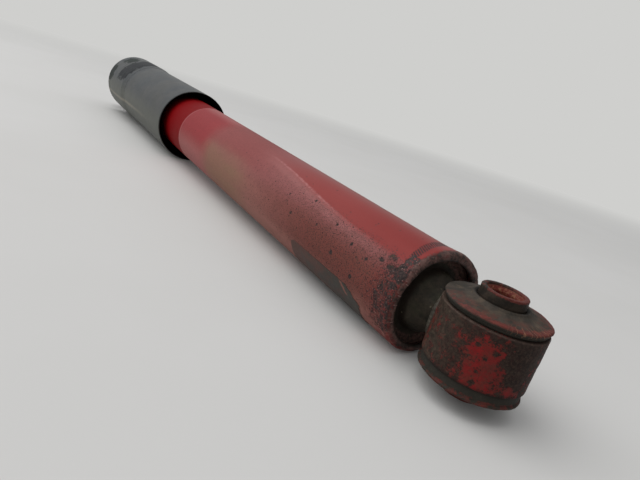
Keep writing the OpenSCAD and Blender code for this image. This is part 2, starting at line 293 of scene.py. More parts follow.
def dense(points, step):
    """A profile with points added so that no segment is longer than step(along) mm."""
    out = []
    for (r0, a0), (r1, a1) in zip(points[:-1], points[1:]):
        d = math.hypot(r1 - r0, a1 - a0)
        s = step((a0 + a1) / 2) if callable(step) else step
        if callable(step) and d > s:
            t, ts = 0.0, [0.0]
            while t < 1:
                t += step(a0 + (a1 - a0) * min(t, 1)) / d
                ts.append(min(t, 1.0))
            if len(ts) > 2 and ts[-1] - ts[-2] < 0.3 * (ts[-2] - ts[-3]):
                ts.pop(-2)
            ts = ts[:-1]
        else:
            k = max(1, math.ceil(d / s))
            ts = [i / k for i in range(k)]
        out += [(r0 + (r1 - r0) * t, a0 + (a1 - a0) * t) for t in ts]
    out.append(points[-1])
    return out


def mesh_object(name, verts, faces, body, material, smooth=40):
    me = bpy.data.meshes.new(name)
    me.from_pydata([tuple(v) for v in np.asarray(verts) * MM], [], faces)
    bm = bmesh.new()
    bm.from_mesh(me)
    bmesh.ops.recalc_face_normals(bm, faces=bm.faces)
    bm.to_mesh(me)
    bm.free()
    me.shade_smooth()
    me.set_sharp_from_angle(angle=math.radians(smooth))
    me.materials.append(material)
    ob = bpy.data.objects.new(name, me)
    bpy.context.scene.collection.objects.link(ob)
    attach(ob, body)
    return ob


def quads(n, m, wrap=False):
    """Faces between n rows of m points; wrap joins the last row and column to the first."""
    i, j = np.meshgrid(np.arange(n if wrap else n - 1), np.arange(m if wrap else m - 1), indexing="ij")
    i2, j2 = (i + 1) % n, (j + 1) % m
    return np.stack([i * m + j, i2 * m + j, i2 * m + j2, i * m + j2], -1).reshape(-1, 4)


def revolve(name, profile, body, material, steps, warp, axis="X", centre=(0, 0, 0), smooth=40,
            flare=0.0):
    """A closed profile of (radius, along) turned about an axis. On X, the angle runs from +Z to +Y;
    on Z, from +X to +Y. warp(r, a, t) returns changed r, a for arrays of points, which stay inside
    the profile's own range, or flare mm outside it."""
    p = np.array(profile, float)
    if np.allclose(p[0], p[-1]):
        p = p[:-1]
    n = len(p)
    t = np.arange(steps) * TAU / steps
    r = np.repeat(p[:, 0][:, None], steps, 1)
    a = np.repeat(p[:, 1][:, None], steps, 1)
    tt = np.repeat(t[None], n, 0)
    r, a = warp(r, a, tt)
    r = np.minimum(r, p[:, 0].max() + flare)
    a = np.clip(a, p[:, 1].min() - flare, p[:, 1].max())
    if axis == "X":
        v = np.stack([a, r * np.sin(tt), r * np.cos(tt)], -1)
    else:
        v = np.stack([r * np.cos(tt), r * np.sin(tt), a], -1)
    v = v.reshape(-1, 3) + np.array(centre, float)
    return mesh_object(name, v, quads(n, steps, wrap=True).tolist(), body, material, smooth)


def waves(t, a, seed, lo=2, hi=30, along=0.05):
    """Smooth seeded noise over angle t and distance a, about -1 to 1, from waves that go lo to hi
    times round."""
    terms = 14
    g = np.random.default_rng(seed)
    out = np.zeros(np.broadcast(t, a).shape)
    for _ in range(terms):
        k = g.integers(lo, hi + 1)
        w = g.normal() * along * k / 4
        out = out + np.sin(k * t + w * a + g.uniform(0, TAU)) / math.sqrt(terms / 2)
    return out


def unit(x):
    return np.clip(x, 0, 1)


def lump(x, x0, w):
    return np.exp(-((x - x0) / w) ** 2)


def turn_diff(t, t0):
    """Smallest signed difference of angles, in degrees."""
    return (np.degrees(t) - t0 + 180) % 360 - 180


def dents(a, t, radius, spots):
    """Total depth of soft dents, each (along, angle, width, depth)."""
    return sum(d * lump(a, x0, w) * lump(turn_diff(t, t0) * DEG * radius, 0, w) for x0, t0, w, d in spots)


# ---- materials
def body_enamel():
    g = Graph("body_enamel")
    x = g.x
    th = g.angle(g.y, g.z)
    rad = g.length(g.y, g.z)
    big = g.noise(30, 4, 0.55, seed=1)
    mid = g.noise(7, 6, 0.62, seed=2)
    fine = g.noise(1.6, 8, 0.72, seed=3)
    grit = g.noise(0.45, 4, 0.75, seed=4)
    streak = g.noise(9, 5, 0.62, vec=g.times(g.pos, (0.12, 1, 1)), seed=5)
    wob = (mid - 0.5) * 9

    # clean red above a curved line, dull road film below it and all round farther up
    line_th = 50.0 - g.ramp(x, 70, 200) * 22.0
    over = th - line_th
    film = g.max(g.ramp(over + wob * 0.5, -3.5, 7.0), g.ramp(x + wob, 160, 225))
    skin = g.unrolled(BODY_R)
    clean = g.mix((130, 42, 38), (135, 50, 46), g.ramp(x, 55, 110))
    pale = (136, 70, 64)
    pink, mauve, brown, warm = (134, 72, 70), (138, 84, 82), (114, 62, 55), (142, 96, 86)
    # painted reflection: the clean red turns paler toward the top of the tube
    top = g.mix(clean, pale, g.ramp(th + wob * 0.3, 17, -8) * 0.85)
    top = g.mix(top, pink, g.ramp(x + wob, 120, 225))
    low = g.mix(mauve, brown, g.ramp(th + wob, 50, 82) * g.ramp(x + wob, 235, 95))
    low = g.mix(low, warm, g.ramp(th + wob, 58, 98) * g.ramp(x + wob * 1.6, 95, 250))
    low = g.mix(low, pink, g.ramp(th + wob, 74, 54) * g.ramp(x, 150, 220))
    # painted reflection of the floor: paler along the lower side of the tube
    low = g.mix(low, (146, 100, 90), g.ramp(th + wob * 0.6, 98, 124) * 0.75)
    g.col = g.mix(top, low, film)
    # green-brown dust that thins toward the dust tube
    dust = g.band(x + wob * 1.4, 205, 283, 20) * g.ramp(th + wob * 2, 46, 92) * g.ramp(th, 165, 120)
    dust = dust * g.clamp(streak * 2.2 - 0.35)
    g.over((130, 104, 82), dust * 0.7)
    # toward the dust tube the faded red turns pinker at the top and along the lower side: painted sheen at
    # the grazing sides
    haze = g.ramp(x + wob * 1.6, 268, 296)
    sides = g.max(g.ramp(th + wob, 74, 108), g.ramp(th + wob, 26, 0))
    faded_red_and_sheen = g.mix((139, 50, 53), (156, 92, 90), sides)
    g.over(faded_red_and_sheen, haze * 0.92)
    g.shade(0.84 + streak * 0.18 + (fine - 0.5) * 0.55 * (film + 0.25) + big * 0.1)
    grime = g.cover(g.noise(5, 8, 0.72, seed=18), film * g.ramp(x + wob, 260, 60) * 0.55, 0.08)
    g.over((98, 60, 52), grime * 0.35)
    # unfaded paint that stayed inside the dust tube
    fresh = g.ramp(x, 350.0, 350.6)
    g.over((118, 8, 12), fresh)
    fade = 1.0 - fresh
    lip = g.band(x, 348.4, 350.2, 0.3)
    g.over((178, 120, 122), lip * 0.3)
    # soft pale line along the edge of the film, painted as a highlight, with a painted sheen just above it
    dash = g.ramp(g.noise(3.4, 5, 0.75, seed=6), 0.34, 0.62)
    pale_highlight_line = g.ramp(g.abs(over + (mid - 0.5) * 1.6), 2.6, 0.1)
    pale_highlight_line = pale_highlight_line * g.band(x, 66, 188, 14) * (0.3 + 0.7 * g.ramp(x, 80, 120)) * dash
    sheen = g.band(over + wob * 0.3, 0.5, 12.0, 3.0) * g.band(x, 60, 190, 18)
    g.over((176, 118, 116), sheen * 0.16)
    g.over((196, 142, 140), pale_highlight_line * 0.36)

    # chips: dense at the rolled rim, specks up the side that faced the road
    face = g.band(th + wob, 56, 132, 9)
    rim_zone = g.ramp(x + wob * 0.6, 66, 33) * face
    mid_zone = g.band(th + wob * 0.6, 47, 112, 8) * g.ramp(x + wob, 225, 66)
    slate = g.band(x + wob * 0.35, 31, 39.5, 1.8) * g.band(th + wob, 36, 66, 5)
    back = g.ramp(x + wob * 0.5, 56, 36) * g.ramp(th, -14, -44) * 0.5
    ragged = g.noise(3.2, 9, 0.74, seed=8)
    raw = g.noise(1.2, 6, 0.75, seed=9)
    chips = g.cover(ragged, g.max(rim_zone * 0.5, slate * 0.7, back)) * g.ramp(raw, 0.34, 0.44)
    chips = g.max(chips, g.cover(raw, rim_zone * 0.5 + slate * 0.2))
    for bx, bt, bl, bw in ((45.5, 53, 3.8, 5.5), (41, 62, 5, 6), (50, 61, 2.2, 3)):
        d = g.length((x - bx) / bl, (th - bt) / bw) + (ragged - 0.5) * 3.0 + (raw - 0.5) * 1.6
        chips = g.max(chips, g.ramp(d, 0.9, 0.6) * g.ramp(raw, 0.36, 0.5))
    for sx, st, sr in ((118, 50, 0.7), (90, 58, 0.9), (131, 80, 1.0), (118, 19, 0.4), (104, 72, 0.7),
                       (72, 66, 0.9), (83, 88, 1.0), (142, 62, 0.6), (63, 96, 1.1), (58, 70, 1.2)):
        d = g.length(x - sx, (th - st) * (DEG * BODY_R)) + (ragged - 0.5) * 4.0
        chips = g.max(chips, g.ramp(d, sr + 0.35, sr - 0.15))
    specks = g.max(g.specks(4.0, mid_zone * 0.4 + 0.02, 0.04, 0.14, seed=10, vec=skin),
                   g.specks(1.7, mid_zone * 1.1, 0.06, 0.2, seed=11, vec=skin),
                   g.specks(1.0, mid_zone * 0.9, 0.1, 0.3, seed=16, vec=skin) * 0.85,
                   g.cover(raw, mid_zone * 0.3) * 0.6)
    nick = g.band(x + (fine - 0.5) * 2, 88, 95, 0.5) * g.band(th + (x - 91.5) * 0.9, -12, -9, 0.8)
    chips = g.max(chips, specks, nick) * fade
    chip_col = g.mix((40, 36, 36), (84, 70, 67), g.ramp(g.noise(0.9, 5, 0.75, seed=12), 0.38, 0.72))
    chip_col = g.mix(chip_col, (92, 86, 60), g.ramp(g.noise(4, 4, 0.7, seed=13), 0.56, 0.7) * 0.4)
    raw_red = g.ramp(x + wob * 0.5, 56, 34) * g.ramp(th + wob, 44, 62)
    g.over((104, 38, 37), raw_red * g.ramp(ragged, 0.38, 0.54) * 0.85)
    kept = g.band(x + wob * 0.2, 31, 36.2, 0.9) * g.ramp(th + wob, 62, 82) * g.ramp(raw, 0.5, 0.38)
    g.over((112, 34, 36), kept * 0.7)
    # wrench bites round the tube just above the rim
    bite_x = x + (mid - 0.5) * 4.0 + (th - 22.0) * 0.07
    bites = g.band(bite_x, 36.8, 41.4, 0.6) * g.band(th + wob * 0.5, -16, 42, 3)
    rib = g.ramp(g.sin((th + x * 0.8 + (mid - 0.5) * 3.0) * (TAU / 2.8)) + (fine - 0.5) * 2.4, -0.6, 0.5)
    bites = bites * (0.34 + rib * 0.66) * g.ramp(ragged + (raw - 0.5) * 0.6, 0.35, 0.43)
    # bare, oily rim
    bare = g.ramp(x + (ragged - 0.5) * 6.0 + g.ramp(th, 40, 70) * 2.4, 34.0, 32.8)
    bare = g.max(bare, g.ramp(rad, 24.4, 23.2) * g.ramp(x, 37.5, 36.5), g.ramp(rad, 26.2, 25.9),
                 g.ramp(x + wob * 0.2, 36.5, 34.0) * g.ramp(th, 4, -26))
    bare_col_and_curl_shade = g.mix((112, 84, 78), (54, 48, 45), g.ramp(ragged, 0.38, 0.6))
    keep_red = g.cover(g.noise(2.0, 8, 0.74, seed=17), g.ramp(th + wob, 48, 76) * 0.22 + 0.3, 0.05)
    bare_col_and_curl_shade = g.mix(bare_col_and_curl_shade, (96, 42, 40), keep_red * g.ramp(rad, 24.2, 25.2) * 0.75)
    # painted shade: the rim darkens toward the inside of its curl
    bare_col_and_curl_shade = g.mix(bare_col_and_curl_shade, (50, 44, 39), g.ramp(rad, 24.0, 22.4))
    g.over(chip_col, chips)
    g.over(g.mix((30, 25, 26), (62, 46, 45), g.ramp(raw, 0.4, 0.65)), bites * 0.95)
    g.over(bare_col_and_curl_shade, bare)
    # pale points of scraped metal near the rim
    bright = g.specks(1.4, 0.3, 0.06, 0.2, seed=15, vec=skin) * g.max(rim_zone, slate)
    g.over((172, 134, 128), bright * 0.55)
    rough = 0.42 + film * 0.16 + chips * 0.12 + bare * 0.1 + dust * 0.12 + (grit - 0.5) * 0.1 - fresh * 0.04
    lost = g.max(chips, bites, bare)
    height = (grit - 0.5) * 0.12 + (fine - 0.5) * 0.1 + lost * (raw * 0.6 - 0.9) + pale_highlight_line * 0.1
    return g.finish(rough, height, depth=0.1, spec=0.17 - film * 0.06 - lost * 0.05 - fresh * 0.06)


def eye_enamel():
    g = Graph("eye_enamel")
    ph, rad = g.about_eye()
    turn = g.abs(ph)
    z = g.z
    mid = g.noise(6, 6, 0.62, seed=21)
    fine = g.noise(1.4, 8, 0.74, seed=22)
    ragged = g.noise(3.6, 9, 0.74, seed=26)
    raw = g.noise(1.3, 7, 0.75, seed=27)
    wob = (mid - 0.5) * 30
    red = g.mix((122, 26, 27), (98, 40, 34), g.ramp(g.noise(2.6, 8, 0.72, seed=23), 0.40, 0.62))
    dirt = g.mix((78, 64, 53), (36, 33, 27), g.ramp(g.noise(2.2, 8, 0.74, seed=24), 0.36, 0.64))
    slate = g.mix((24, 23, 20), (62, 53, 45), g.ramp(g.noise(1.1, 7, 0.75, seed=25), 0.38, 0.7))
    freckle = g.ramp(g.noise(1.6, 8, 0.75, seed=30), 0.54, 0.6) * g.ramp(turn, 160, 135)
    slate = g.mix(slate, (78, 40, 35), freckle * 0.6)
    p = ph + wob
    share = 0.34 + g.band(p, 60, 112, 8) * 0.26 + g.ramp(p, 142, 160) * 0.08
    share = share + g.ramp(p, 142, 158) * g.ramp(z + (mid - 0.5) * 20, -9, -2) * 0.48
    share = share + g.ramp(z + (mid - 0.5) * 6, 6.5, 11.5) * 0.28
    share = g.max(share, g.ramp(ph, -8, -40) * 0.62)
    chips = g.max(g.cover(ragged, share), g.cover(raw, share * 0.75) * 0.9)
    for sp, sz, sr in ((129, 2.5, 1.0), (126, -3.5, 1.0), (104, -5.5, 1.5), (126, -9.0, 1.5), (83, -7, 2.0),
                       (118, 6.5, 0.9), (137, 6, 1.4), (152, 5, 2.2)):
        d = g.length((ph - sp) * (DEG * EYE_R), z - sz) + (ragged - 0.5) * 5 + (raw - 0.5) * 4
        chips = g.max(chips, g.ramp(d, sr + 0.2, sr - 0.6))
    g.col = g.mix(red, slate, chips * 0.94)
    near_neck = g.ramp(turn + wob * 0.5, 86, 60)
    worn = g.ramp(g.noise(1.7, 8, 0.74, seed=29) + near_neck * 0.035, 0.44, 0.54)
    g.over(dirt, g.ramp(turn + wob * 0.5, 118, 72) * worn * 0.92)
    film = g.ramp(g.noise(9, 6, 0.65, seed=28), 0.4, 0.72)
    g.over((52, 46, 40), film * 0.35)
    g.shade(0.5 + fine * 0.95)
    edge = g.band(z, 13.0, 13.75, 0.3) * (0.2 + g.ramp(fine, 0.35, 0.65) * 0.7)
    g.over((92, 76, 68), edge * 0.7)
    # painted shade: the barrel darkens toward its lower lip
    grime = g.ramp(z + (mid - 0.5) * 2, -9.8, -11.6)
    g.over((32, 25, 22), grime * 0.75)
    # painted shade where the rubber lips cover the barrel's faces
    inside = g.ramp(rad, 21.5, 21.0)
    g.over((34, 29, 27), inside)
    rough = 0.5 + chips * 0.14 + near_neck * 0.12 + (fine - 0.5) * 0.2
    height = (fine - 0.5) * 0.3 - chips * 0.5 + chips * (raw - 0.5) * 0.8
    return g.finish(rough, height, depth=0.16, spec=0.12)


def bush_rubber():
    """Rubber lips and faces with what is left of the red overspray, and cracks where they dried out."""
    g = Graph("bush_rubber")
    ph, rad = g.about_eye()
    z = g.z
    mid = g.noise(5, 6, 0.64, seed=31)
    fine = g.noise(1.1, 7, 0.74, seed=32)
    spoke = g.noise(1.0, 5, 0.7, vec=g.vector(ph * 0.16, rad * 0.05, z * 0.3), seed=37)
    base = g.mix((66, 59, 52), (48, 45, 40), g.ramp(g.noise(8, 6, 0.62, seed=33), 0.38, 0.62))
    base = g.mix(base, (92, 78, 64), g.ramp(mid, 0.46, 0.7) * g.ramp(g.abs(z), 16.5, 17.4) * 0.6)
    warm = g.ramp(g.noise(2.8, 8, 0.72, seed=39), 0.42, 0.6)
    warm = warm * g.band(g.abs(ph) + (mid - 0.5) * 30, 50, 172, 14)
    base = g.mix(base, (92, 52, 44), warm * g.ramp(z, 16.0, 17.0) * g.ramp(rad, 14.0, 17.5) * 0.6)
    base = g.tint(base, 0.5 + spoke * 0.6 + fine * 0.45)
    wall = g.ramp(g.abs(z), 17.0, 16.0)
    base = g.mix(base, (44, 42, 37), wall * 0.75)
    toward = g.ramp(180.0 - g.abs(ph) + (mid - 0.5) * 60, 132, 92)
    top = g.ramp(z, 16.0, 16.7) * g.ramp(rad + (mid - 0.5) * 7, 18.2, 21.6)
    share = top * (0.16 + toward * 0.5) + top * g.ramp(g.abs(g.abs(ph + 8.0) - 180.0), 60, 20) * 0.25
    bottom = g.ramp(z, -14.0, -15.4) * g.ramp(rad, 20.5, 21.6)
    share = g.max(share, bottom * 0.5)
    rim = g.ramp(rad, 21.7, 22.3) * g.band(z, 16.9, 17.6, 0.2) * g.ramp(g.abs(ph), 40, 75)
    share = g.max(share, rim * 0.6)
    paint = g.cover(g.noise(2.6, 8, 0.72, seed=38), share, 0.06)
    red = g.mix((72, 34, 30), (118, 50, 43), g.ramp(g.noise(2.0, 6, 0.72, seed=34), 0.3, 0.7))
    red = g.mix(red, (58, 42, 36), g.ramp(z, -12.0, -14.0) * g.ramp(mid, 0.4, 0.6) * 0.6)
    g.col = g.mix(base, red, paint * (0.8 - g.band(z, 10.0, 16.9, 0.3) * 0.4))
    wave = g.sin(ph * (TAU / 6.1) + (g.noise(9, 3, 0.5, seed=35) - 0.5) * 22)
    zone = g.max(g.band(ph + (mid - 0.5) * 20, 140, 205, 8), g.ramp(ph, -150, -168))
    crack = g.ramp(wave, 0.84, 0.97) * zone * g.ramp(rad + (mid - 0.5) * 5, 17.2, 20.2)
    crack = crack * g.ramp(z, 14.5, 15.5) * g.ramp(fine, 0.32, 0.5)
    g.over((150, 108, 84), crack * 0.5)
    # painted shade in the groove round the foot of the sleeve
    groove = g.ramp(rad, 12.6, 11.2) * g.ramp(g.abs(z), 17.5, 19.0)
    g.over((28, 25, 22), groove * 0.75)
    dust = g.ramp(g.noise(0.8, 5, 0.7, seed=36), 0.55, 0.75)
    g.over((116, 102, 86), dust * 0.2)
    height = (fine - 0.5) * 0.5 - crack * 0.8 + paint * 0.2 + (mid - 0.5) * 0.3 + (spoke - 0.5) * 0.4
    return g.finish(0.68 - paint * 0.12 + (fine - 0.5) * 0.2, height, depth=0.2, spec=0.14)


def base_grime():
    g = Graph("base_grime")
    rad = g.length(g.y, g.z)
    mid = g.noise(6, 6, 0.62, seed=41)
    fine = g.noise(1.4, 8, 0.74, seed=42)
    g.col = g.mix((58, 50, 41), (33, 31, 25), g.ramp(mid * 0.6 + fine * 0.4, 0.38, 0.62))
    g.over((48, 50, 34), g.ramp(g.noise(9, 5, 0.62, seed=43), 0.46, 0.68) * 0.5)
    # painted shade in the groove inside the rim
    deep = g.band(rad + (mid - 0.5) * 1.0, 15.6, 17.6, 0.8) * g.ramp(g.x, 31.0, 33.5)
    g.over((38, 30, 25), deep * 0.85)
    ledge = g.ramp(rad + (mid - 0.5) * 2.0, 18.6, 20.4)
    g.over(g.mix((116, 84, 76), (58, 46, 40), g.ramp(fine, 0.4, 0.62)), ledge * 0.8)
    # a near-black dot painted for the shade in a small hole
    dot = g.ramp(g.length(g.y - 3.3, g.z - 10.6), 0.75, 0.45)
    g.over((10, 9, 8), dot)
    nicks = g.specks(2.6, 0.14, 0.1, 0.24, seed=44)
    g.over((128, 120, 100), nicks * 0.4)
    streaks = g.noise(5, 5, 0.7, vec=g.times(g.pos, (0.2, 1, 1)), seed=45)
    g.shade(0.78 + streaks * 0.44)
    height = (fine - 0.5) * 0.6 + (mid - 0.5) * 0.6 - nicks * 0.2
    return g.finish(0.62 + (mid - 0.5) * 0.3, height, depth=0.2, spec=0.14)


def weld_metal():
    g = Graph("weld_metal")
    mid = g.noise(4, 6, 0.64, seed=51)
    fine = g.noise(1.0, 6, 0.74, seed=52)
    g.col = g.mix((52, 48, 41), (80, 75, 66), g.ramp(mid, 0.36, 0.68))
    g.over((62, 42, 32), g.ramp(g.noise(2.2, 5, 0.7, seed=53), 0.55, 0.72) * 0.6)
    g.over((96, 30, 28), g.ramp(g.noise(7, 5, 0.62, seed=54), 0.6, 0.7) * 0.5)
    height = (fine - 0.5) * 0.6 + (mid - 0.5) * 0.6
    return g.finish(0.6 + (fine - 0.5) * 0.3, height, depth=0.2, spec=0.25)


def sleeve_steel():
    g = Graph("sleeve_steel")
    ph, rad = g.about_eye()
    z = g.abs(g.z)
    mid = g.noise(4, 6, 0.66, seed=61)
    fine = g.noise(0.9, 7, 0.74, seed=62)
    g.col = g.mix((58, 49, 41), (36, 32, 27), g.ramp(mid, 0.36, 0.64))
    toward = g.ramp(180.0 - g.abs(ph) + (mid - 0.5) * 60, 130, 60)
    rim = g.ramp(z + (mid - 0.5) * 1.6, 22.9, 24.0)
    paint = g.cover(g.noise(2.2, 8, 0.72, seed=64), rim * (0.42 + toward * 0.4), 0.05)
    red = g.mix((74, 32, 29), (108, 54, 46), g.ramp(fine, 0.35, 0.65))
    g.over(red, paint * 0.9)
    bore = g.ramp(rad, 8.2, 7.4) * g.ramp(z, 24.3, 23.9)
    rust_and_bore_shade = g.mix((92, 32, 26), (134, 92, 66), g.ramp(g.noise(1.3, 7, 0.75, seed=63), 0.45, 0.66))
    # painted shade: the rust darkens deeper into the bore
    rust_and_bore_shade = g.mix(rust_and_bore_shade, (26, 18, 16), g.ramp(z, 23.5, 15.0) * 0.75)
    g.over(rust_and_bore_shade, bore)
    height = (fine - 0.5) * 0.5 + (mid - 0.5) * 0.4 + g.sin(g.z * 5.0) * 0.04
    return g.finish(0.58 + (fine - 0.5) * 0.25, height, depth=0.18, spec=0.15)


def label_film():
    g = Graph("label_film")
    th = g.angle(g.y, g.z)
    mid = g.noise(9, 6, 0.62, seed=71)
    fine = g.noise(1.4, 7, 0.72, seed=72)
    streak = g.noise(5, 5, 0.64, vec=g.times(g.pos, (0.2, 1, 1)), seed=73)
    g.col = g.mix((62, 58, 53), (84, 60, 54), g.ramp(mid + g.ramp(g.x, 70, 122) * 0.22, 0.46, 0.7))
    g.shade(0.62 + streak * 0.44 + fine * 0.28)
    # a scratch through to the paint
    cut = g.band(g.x + (fine - 0.5) * 4 + (th - 115.0) * 0.5, 66.0, 68.2, 0.4) * g.band(th, 109, 120, 1.2)
    g.over((140, 86, 74), cut * 0.8)
    skin = g.unrolled(BODY_R)
    scuffs = g.max(g.specks(3, 0.25, 0.06, 0.2, seed=74, vec=skin), g.cover(fine, 0.2) * 0.6)
    g.over((112, 90, 80), scuffs * 0.4)
    height = (fine - 0.5) * 0.4 - cut * 0.5 - scuffs * 0.2
    return g.finish(0.55 + (mid - 0.5) * 0.3, height, depth=0.1, spec=0.16)


def tube_enamel():
    g = Graph("tube_enamel")
    x = g.x
    th = g.angle(g.y, g.z)
    rad = g.length(g.y, g.z)
    big = g.noise(40, 4, 0.55, seed=81)
    mid = g.noise(8, 6, 0.62, seed=82)
    fine = g.noise(1.5, 7, 0.7, seed=83)
    streak = g.noise(12, 5, 0.62, vec=g.times(g.pos, (0.08, 1, 1)), seed=84)
    wob = (mid - 0.5) * 12
    g.col = g.mix((59, 63, 65), (68, 69, 67), g.ramp(big, 0.35, 0.65))
    g.over((82, 80, 78), g.ramp(g.noise(22, 5, 0.62, seed=88), 0.5, 0.66) * 0.4)
    # painted reflection of the floor: paler along the lower side, with a warm pale streak toward the cap
    g.over((86, 88, 80), g.ramp(th + wob, 74, 100) * 0.75)
    ray = g.band(th + wob * 0.3 - g.ramp(x, 430, 620) * 6.0, 104.0, 109.0, 2.4) * g.ramp(x, 410, 540)
    g.over((160, 150, 132), ray * (0.1 + streak * 0.6))
    # painted light: paler along the top of the tube
    g.over((80, 82, 78), g.ramp(th + wob, 22, -2) * 0.5)
    g.shade(0.84 + streak * 0.22 + (fine - 0.5) * 0.16)
    # dark remnants of the first coat round the cap
    a = g.band(x + wob * 0.8 - g.abs(th - 38.0) * 0.1, 562, 602, 9) * g.band(th + wob * 2, -10, 76, 15)
    a = a * g.ramp(g.noise(11, 6, 0.7, seed=87), 0.3, 0.48)
    b = g.band(x + wob * 0.8, 606, 640, 11) * g.band(th + wob, 14, 44, 13)
    c = g.band(x + wob * 0.6, 628, 656, 9) * g.band(th + wob, 56, 92, 14)
    d = g.ramp(x, 560, 620) * g.ramp(th, -30, -70) * 0.22
    old = g.max(a * 0.98, b * 0.86, c * 0.95, d)
    patch = g.cover(g.noise(6, 9, 0.74, seed=85), old, 0.04)
    dark = g.mix((20, 23, 26), (17, 27, 21), g.ramp(x, 598, 608))
    g.over(dark, patch * g.clamp(0.66 + streak * 0.5))
    skin = g.unrolled(DUST_R)
    nicks = g.specks(5, 0.12, 0.04, 0.14, seed=86, vec=skin)
    edge = g.ramp(x + (fine - 0.5) * 1.5, 393.0, 391.8)
    chips = g.max(nicks, edge * 0.9)
    g.over((40, 38, 36), chips * 0.75)
    # painted shade: near-black inner wall inside the dust tube and cap, with less gloss
    inside = g.ramp(rad, 34.35, 34.15) * g.ramp(x, 655, 654)
    g.over((15, 15, 15), inside)
    rough = 0.46 + (mid - 0.5) * 0.14 + (fine - 0.5) * 0.1 + chips * 0.15 + patch * 0.06
    height = (fine - 0.5) * 0.14 - chips * 0.3 - patch * 0.15 + (streak - 0.5) * 0.1
    return g.finish(rough, height, depth=0.12, spec=0.2 - inside * 0.16 - patch * 0.1)


def metal(name, a, b, rough, seed, size=6.0, metallic=1.0, turned=0.0):
    """Machined or plated metal with stains; turned adds lathe rings about the shock's axis."""
    g = Graph(name)
    mid = g.noise(size, 5, 0.6, seed=seed)
    fine = g.noise(size * 0.15, 4, 0.7, seed=seed + 1)
    g.col = g.mix(a, b, g.ramp(mid, 0.35, 0.68))
    g.over(g.tint(a, 0.35), g.ramp(g.noise(size * 0.5, 5, 0.7, seed=seed + 2), 0.6, 0.74) * 0.55)
    height = (fine - 0.5) * 0.3
    if turned:
        height = height + g.sin((g.x + g.length(g.y, g.z)) * (TAU / turned)) * 0.12
    return g.finish(rough + (mid - 0.5) * 0.25 + (fine - 0.5) * 0.1, height, depth=0.06, metal=metallic)


def plain_rubber(name, seed, dusty):
    g = Graph(name)
    mid = g.noise(7, 5, 0.6, seed=seed)
    fine = g.noise(1.0, 4, 0.7, seed=seed + 1)
    g.col = g.mix((34, 34, 34), (50, 48, 46), mid)
    g.over((104, 98, 86), g.ramp(fine + mid * 0.4, 0.74, 0.95) * dusty)
    height = (fine - 0.5) * 0.4 + (mid - 0.5) * 0.3
    return g.finish(0.62 + (mid - 0.5) * 0.2, height, depth=0.2)


def polyurethane(name, seed):
    """Foamed bump stop: matt, with small open pores."""
    g = Graph(name)
    mid = g.noise(9, 5, 0.6, seed=seed)
    pores, _ = g.cells(1.3, seed=seed + 1)
    pore = g.ramp(pores, 0.3, 0.12)
    g.col = g.mix((54, 50, 44), (72, 66, 54), mid)
    g.over((20, 19, 17), pore * 0.7)
    return g.finish(0.8 + (mid - 0.5) * 0.2, (mid - 0.5) * 0.3 - pore * 0.6, depth=0.25)


def dress(look, *nodes):
    """Gives the CAD nodes that stay visible a material."""
    for node in nodes:
        slots = frame["nodes"][node].data.materials
        slots.clear()
        slots.append(look)


dress(metal("machined_steel", (168, 166, 160), (140, 136, 128), 0.34, 101, turned=0.9),
      "foot_bolt", "seal_washer", "spring_spacer", "stop_collar", "cap_collar")
dress(metal("spring_steel", (120, 122, 126), (92, 92, 98), 0.3, 104),
      "foot_intake_plate", "foot_intake_spring", "foot_compression_discs", "foot_spring_washer",
      "rebound_spring", "rebound_discs", "check_plate", "check_spring")
dress(metal("zinc_plate", (182, 180, 168), (158, 150, 124), 0.36, 107),
      "foot_nut", "rebound_nut", "bump_washer")
dress(metal("sintered_iron", (104, 102, 98), (84, 82, 80), 0.55, 110, size=3, metallic=0.8),
      "foot_valve_body", "rod_guide", "piston")
dress(metal("hard_chrome", (206, 208, 210), (186, 190, 194), 0.1, 113, size=30), "piston_rod")
dress(metal("bearing_bronze", (176, 132, 78), (142, 98, 54), 0.34, 116, turned=0.7),
      "guide_bushing", "piston_ring")
dress(metal("oily_steel", (112, 106, 92), (78, 72, 60), 0.42, 119, metallic=0.7, turned=1.1), "gland_nut")
dress(metal("drawn_tube", (156, 156, 154), (128, 128, 128), 0.28, 122, size=18), "pressure_tube")
dress(plain_rubber("seal_rubber", 131, 0.05), "rod_seal", "guide_o_ring", "wiper")
dress(polyurethane("bump_foam", 141), "bump_stop")
dress(plain_rubber("buffer_rubber", 151, 0.1), "rebound_buffer")

# ---- pieces
body_look, eye_look, rubber_look = body_enamel(), eye_enamel(), bush_rubber()
grime, weld_look, sleeve_look = base_grime(), weld_metal(), sleeve_steel()
tube_look, label_look = tube_enamel(), label_film()


def place(ob, node):
    """Lets a piece stand for a CAD node, by hiding the node."""
    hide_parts(node)


def pressed_spring(node, body):
    """A copy of a valve spring on its own mesh, standing in for the CAD node."""
    cad = frame["nodes"][node]
    ob = bpy.data.objects.new(node + "_flexing", cad.data.copy())
    ob.matrix_world = cad.matrix_world.copy()
    bpy.context.scene.collection.objects.link(ob)
    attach(ob, body)
    place(ob, node)
    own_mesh(ob)


pressed_spring("foot_intake_spring", "reservoir")
pressed_spring("foot_spring_washer", "reservoir")
pressed_spring("check_spring", "rod_and_dust_tube")
pressed_spring("rebound_spring", "rod_and_dust_tube")


def rim_step(a):
    return 0.34 if a < 46 else min(0.34 + (a - 46) * 0.045, 7.0)


